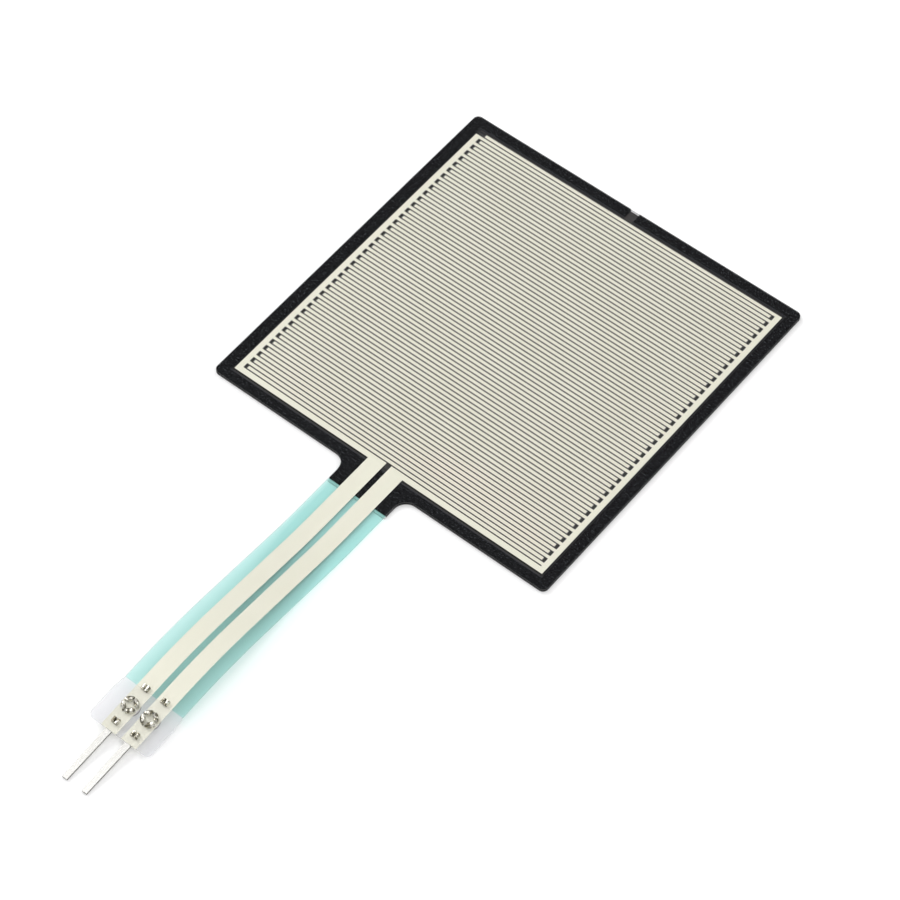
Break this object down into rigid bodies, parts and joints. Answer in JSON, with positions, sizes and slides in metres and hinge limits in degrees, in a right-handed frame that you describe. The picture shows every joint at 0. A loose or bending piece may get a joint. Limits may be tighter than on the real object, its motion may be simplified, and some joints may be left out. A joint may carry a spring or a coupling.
{
  "type": "force sensing resistor",
  "caption": "Thin square force-sensing pad with interleaved silver combs under clear film, on a flat flexible tail that ends in crimped solder pins.",
  "frame": {"origin": "centre of the square pad on its rear face, the face that is stuck down", "axes": "+Z out of the sensing face; +Y from the tail toward the pad's far edge, so the pins point to -Y; +X to the right seen from the tail"},
  "size_m": [0.0436, 0.0889, 0.0018],
  "materials": {
    "clear_polyester": "clear, satin gloss",
    "carbon_ink": "matt screen-printed carbon",
    "adhesive": "clear, tacky",
    "silver_ink": "matt screen-printed silver seen through film",
    "tinted_varnish": "pale green-blue translucent varnish",
    "tinned_metal": "bright tin plate"
  },
  "bodies": {
    "root": {"top_film": "clear_polyester", "bottom_film": "clear_polyester", "carbon_ink": "carbon_ink", "spacer_adhesive": "adhesive", "rear_adhesive": "adhesive", "left_electrode": "silver_ink", "right_electrode": "silver_ink", "tail_coating": "tinted_varnish", "left_terminal": "tinned_metal", "right_terminal": "tinned_metal"}
  },
  "joints": []
}
